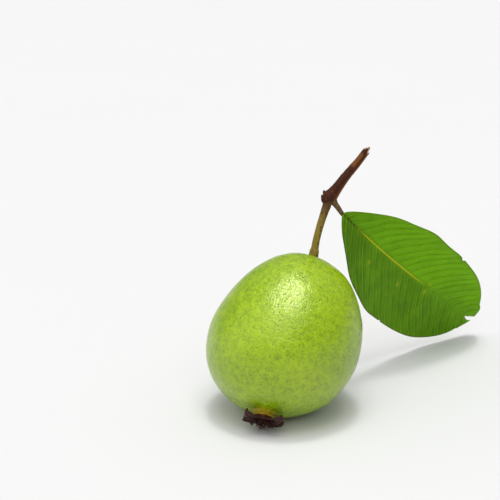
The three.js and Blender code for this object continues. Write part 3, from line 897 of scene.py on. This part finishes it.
def leaf_finish(settings, name, upper):
    """Leaf surface with a light midrib, side veins, a fine net between them and cloudy colour; its
    upper side has painted shade over its lower half, across its tip and near its base.
    """
    finish = Finish(name)
    place = finish.place()
    x, y, phase = finish.noted("along"), finish.noted("across"), finish.noted("phase")
    gap = settings.vein_gap / MM
    from_vein = abs(phase % 1 - 0.5) * gap
    from_fine_vein = abs((phase * 2 + 0.5) % 1 - 0.5) * (gap / 2)
    cloud = finish.grain(place, 7, 4, 0.6)
    net = finish.grain(place, 0.8, 3, 0.65)
    off_rib = abs(y)
    fade = finish.rise(x, 76, 58)
    if upper:
        # Painted shade: the upper side is darkened over its lower half, across the blade towards its
        # tip and near its base, where the blade faces away from the light. The cloud added to it is the
        # leaf's own patchy colour.
        at_tip = finish.rise(x, 64, 92)
        shaded = 0.75
        lower_half_painted_shade = finish.rise(y, 3, -3) * (shaded - shaded * at_tip)
        tip_painted_shade = finish.rise(y, 20, -12) * (shaded * at_tip)
        darker = lower_half_painted_shade + tip_painted_shade + finish.rise(x, 34, 4) * 0.35
        colour = finish.mix(darker + (cloud - 0.5) * 0.9, settings.upper, settings.shade)
        lines, rib_width, rib_share = 0.4, 0.55, fade * finish.rise(x, 8, 24)
        netted, line_colour = 1, linear(*SIDE_VEIN)
    else:
        colour = finish.mix(finish.rise(cloud, 0.4, 0.7) * 0.4, settings.under, settings.upper)
        lines, rib_width, rib_share = 0.5, 0.9, 1
        netted, line_colour = 0.45, settings.vein
    colour = finish.mix(finish.rise(net, 0.45, 0.7) * (0.3 * netted), colour, settings.shade)
    beside = finish.rise(from_vein, 1.7, 0.5) - finish.rise(from_vein, 0.5, 0.15)
    colour = finish.mix(beside * (cloud * (0.7 * netted)), colour, settings.shade)
    if upper:
        near_rib = finish.rise(off_rib, 0.8, 0.3) * finish.rise(x, 50, 14)
        colour = finish.mix(near_rib * 0.7, colour, linear(*BESIDE_MIDRIB))
    between = finish.rise(from_fine_vein, 1.1, 0.5) - finish.rise(from_fine_vein, 0.5, 0.15)
    colour = finish.mix(between * (cloud * (0.4 * netted)), colour, settings.shade)
    colour = finish.mix(finish.rise(from_fine_vein, 0.35, 0.1) * (0.6 * lines), colour, line_colour)
    colour = finish.mix(finish.rise(from_vein, 0.4, 0.1) * lines, colour, line_colour)
    rib = finish.rise(off_rib, rib_width, 0.4 * rib_width) * rib_share
    colour = finish.mix(rib, colour, settings.vein)
    spots = finish.rise(finish.cells(place, 16), 0.12, 0.03)
    colour = finish.mix(spots * 0.4, colour, settings.vein)
    colour = finish.mix(finish.noted("rim") * 0.6, colour, linear(*DARK_MARGIN_LINE))
    height = net * 0.1 - finish.rise(from_vein, 0.7, 0.1) * 0.06
    return finish.done(
        colour, 0.42 + cloud * 0.15, height,
        Subsurface_Weight=0.45, Subsurface_Radius=(0.5, 1.0, 0.02), Subsurface_Scale=0.0012,
        Specular_IOR_Level=0.08,
    )


def petiole_finish(settings, stick):
    """Leaf stalk: olive at the twig and green along the blade."""
    finish = Finish("guava_petiole")
    place = finish.place()
    lines = finish.grain(finish.stretched(place, (1, 1, 0.5)), 0.5, 3)
    along = finish.reach(place, LEAF_LINE, LEAF_BASE)
    colour = finish.mix(finish.rise(along, 2, 16), stick.olive, settings.vein)
    brown = finish.rise(lines, 0.36, 0.62) * 0.5 + finish.rise(along, 4, -2) * 0.5
    colour = finish.mix(brown, colour, stick.stalk_brown)
    return finish.done(colour, 0.55, lines * 0.12)


def midrib_rings():
    """The petiole, running on as the rib behind the blade."""
    t = np.array(RIB_PLACES)
    across = blade(t, np.full_like(t, 0.1)) - blade(t, np.full_like(t, -0.1))
    along = midrib(t + 1e-3) - midrib(t - 1e-3)
    back = unit(np.cross(across, along))
    radii = RIB_RADIUS - RIB_LOSS * (np.arange(len(t)) / (len(t) - 1)) ** RIB_TAPER
    points = midrib(t) + (MIDRIB_BEHIND + radii)[:, None] * back
    path = [list(p) for p in PETIOLE_PATH] + [[*p, r] for p, r in zip(points, radii)]
    return sweep(path, RIB_STEPS, RIB_SIDES, ridges(8, 0.03, 4))


class GUAVA_OT_fruit(bpy.types.Operator):
    """Make the fruit's skin"""

    bl_idname = "guava.fruit"
    bl_label = "Fruit"

    def execute(self, context):
        settings = context.scene.guava_fruit
        shape = fruit_shape(settings.lump / MM)
        make_piece("guava_skin", shape, [skin_finish(settings)], "fruit")
        return {"FINISHED"}


class GUAVA_OT_crown(bpy.types.Operator):
    """Make the dried crown: its cup, sepals, style and withered stamens"""

    bl_idname = "guava.crown"
    bl_label = "Crown"

    def execute(self, context):
        settings = context.scene.guava_crown
        points, faces = cup_shape()
        cup = crown_finish(settings, "guava_crown_cup", 0.7)
        make_piece("crown_cup", (on_crown(points), faces), [cup], "calyx")
        dry = crown_finish(settings, "guava_crown_sepals", 0.65)
        points, faces = joined([sepal_shape(sepal, k + 1) for k, sepal in enumerate(SEPALS)])
        make_piece("crown_sepals", (on_crown(points), faces), [dry])
        style = tube(sweep(STYLE_PATH, STYLE_STEPS, STYLE_SIDES, facing=(1, 0, 0)))
        points, faces = joined([style] + thread_shapes(settings.threads, settings.seed))
        make_piece("crown_style_and_stamens", (on_crown(points), faces), [dry])
        return {"FINISHED"}


class GUAVA_OT_sticks(bpy.types.Operator):
    """Make the fruit's stalk and the piece of twig"""

    bl_idname = "guava.sticks"
    bl_label = "Stalk and twig"

    def execute(self, context):
        settings = context.scene.guava_sticks
        make_piece("green_stalk", stalk_shape(), [stalk_finish(settings)], "fruit_stalk")
        shape = twig_shape(settings.splinter / MM)
        twig = make_piece("brown_twig", shape, [twig_finish(settings)], "twig")
        row = np.arange(TWIG_STEPS + 1 + len(BROKEN_RINGS))[:, None]
        share = np.minimum(row / TWIG_STEPS, 1)
        angle = np.arange(TWIG_SIDES)[None, :] * 2 * math.pi / TWIG_SIDES
        ridge = hump(angle, RIDGE_TURN, 0.16) * rise(share, 0.28, 0.4)
        bare_length = rise(share, 0.77, 0.82) * rise(share, 0.97, 0.93)
        bare = 0.6 * bare_length * rise(np.cos(angle - BARE_COLOUR_TURN), 0.3, 0.8)
        note(twig, "ridge", np.maximum(ridge, bare))
        note(twig, "scar", rise(share, 0.09, 0.03) + 0 * angle)
        note(twig, "broken", (row > TWIG_STEPS) + 0 * angle)
        return {"FINISHED"}


class GUAVA_OT_leaf(bpy.types.Operator):
    """Make the leaf's blade, and its petiole with the rib behind the blade"""

    bl_idname = "guava.leaf"
    bl_label = "Leaf"

    def execute(self, context):
        settings = context.scene.guava_leaf
        grid, x, y = leaf_grid()
        gap = settings.vein_gap / MM
        phase, swell, rib_back = leaf_relief(grid, x, y, gap, settings.quilting / MM)
        raised = grid + normals(grid) * swell[..., None]
        rings = slab_rings(raised, settings.thickness / MM, rib_back)
        upper = leaf_finish(settings, "guava_leaf_upper", True)
        under = leaf_finish(settings, "guava_leaf_under", False)
        leaf = make_piece("leaf_blade", slab(rings), [upper, under], "leaf")
        rim = rise(np.abs(y) / half_width(x / LEAF_SPAN, y), 0.965, 1)
        for name, values in (("along", x), ("across", y), ("phase", phase), ("rim", rim)):
            note(leaf, name, np.concatenate([values, values[:, ::-1]], axis=1))
        around = np.arange((LEAF_ROWS - 1) * 2 * LEAF_COLUMNS) % (2 * LEAF_COLUMNS)
        is_back = np.zeros(len(leaf.data.polygons), np.int32)
        is_back[: len(around)] = (around >= LEAF_COLUMNS) & (around < 2 * LEAF_COLUMNS - 1)
        leaf.data.polygons.foreach_set("material_index", is_back)
        petiole = petiole_finish(settings, context.scene.guava_sticks)
        make_piece("leaf_petiole", tube(midrib_rings()), [petiole])
        return {"FINISHED"}


def soft_sun(name, strength, width, elevation, azimuth):
    """A wide soft light far away. Azimuth 0 is at the front and 90 degrees to the right."""
    light = bpy.data.lights.new(name, "SUN")
    light.energy = strength
    light.angle = math.radians(width)
    lamp = bpy.data.objects.new(name, light)
    lamp.rotation_euler = (math.radians(90 - elevation), 0, math.radians(azimuth))
    bpy.context.scene.collection.objects.link(lamp)


def make_air(world, strength):
    """Pale surroundings that dim towards the horizon."""
    air = Finish(world.name, world)
    way = air.node("ShaderNodeTexCoord", output="Generated")
    height = air.node("ShaderNodeSeparateXYZ", inputs={0: way}, output="Z")
    sockets = {"Value": height, "From Min": 0, "From Max": AIR_FULL_HEIGHT, "To Min": AIR_AT_HORIZON}
    share = air.node("ShaderNodeMapRange", {"interpolation_type": "SMOOTHSTEP"}, sockets)
    glow = air.node("ShaderNodeBackground", inputs={"Color": share, "Strength": strength})
    air.node("ShaderNodeOutputWorld", inputs={"Surface": glow})


class GUAVA_OT_stage(bpy.types.Operator):
    """Make the floor, the lights and the camera"""

    bl_idname = "guava.stage"
    bl_label = "Stage"

    def execute(self, context):
        settings = context.scene.guava_stage
        scene = context.scene
        scene.view_settings.view_transform = "Standard"
        paint = Finish("studio_floor")
        grain = paint.grain(paint.place(), FLOOR_GRAIN_SIZE)
        shade = paint.mix(grain * 0.04, settings.floor, linear(255, 255, 255))
        mesh = bpy.data.meshes.new("studio_floor")
        reach = FLOOR_REACH
        corners = [(-reach, -reach, 0), (reach, -reach, 0), (reach, reach, 0), (-reach, reach, 0)]
        mesh.from_pydata(corners, [], [(0, 1, 2, 3)])
        mesh.materials.append(paint.done(shade, 0.9, Specular_IOR_Level=0.1))
        floor = bpy.data.objects.new("studio_floor", mesh)
        scene.collection.objects.link(floor)
        scene.world = bpy.data.worlds.new("studio_air")
        make_air(scene.world, settings.world)
        for name, (width, elevation, azimuth) in LIGHTS.items():
            soft_sun(f"{name}_light", getattr(settings, name), width, elevation, azimuth)
        view = bpy.data.cameras.new("camera")
        view.lens = CAMERA_LENS
        view.sensor_width = CAMERA_FILM
        view.dof.use_dof = False
        camera = bpy.data.objects.new("camera", view)
        camera.location = (CAMERA_X, CAMERA_Y, settings.camera_height)
        camera.rotation_euler = (math.radians(90) - settings.camera_pitch, 0, 0)
        scene.collection.objects.link(camera)
        scene.camera = camera
        return {"FINISHED"}


class GUAVA_PT_panel(bpy.types.Panel):
    """The guava's makers, in the order in which they run"""

    bl_label = "Guava"
    bl_idname = "GUAVA_PT_panel"
    bl_space_type = "VIEW_3D"
    bl_region_type = "UI"
    bl_category = "Guava"

    def draw(self, context):
        for operator in MAKERS:
            self.layout.operator(operator.bl_idname)


GROUPS = {
    "guava_fruit": FruitSettings,
    "guava_crown": CrownSettings,
    "guava_sticks": StickSettings,
    "guava_leaf": LeafSettings,
    "guava_stage": StageSettings,
}
MAKERS = [GUAVA_OT_stage, GUAVA_OT_fruit, GUAVA_OT_crown, GUAVA_OT_sticks, GUAVA_OT_leaf]


def register():
    for kind in [*GROUPS.values(), *MAKERS, GUAVA_PT_panel]:
        bpy.utils.register_class(kind)
    for name, kind in GROUPS.items():
        setattr(bpy.types.Scene, name, PointerProperty(type=kind))


def unregister():
    for name in GROUPS:
        delattr(bpy.types.Scene, name)
    for kind in reversed([*GROUPS.values(), *MAKERS, GUAVA_PT_panel]):
        bpy.utils.unregister_class(kind)


def main():
    register()
    bpy.ops.guava.stage()
    bpy.ops.guava.fruit()
    bpy.ops.guava.crown()
    bpy.ops.guava.sticks()
    bpy.ops.guava.leaf()


if __name__ == "__main__":
    main()
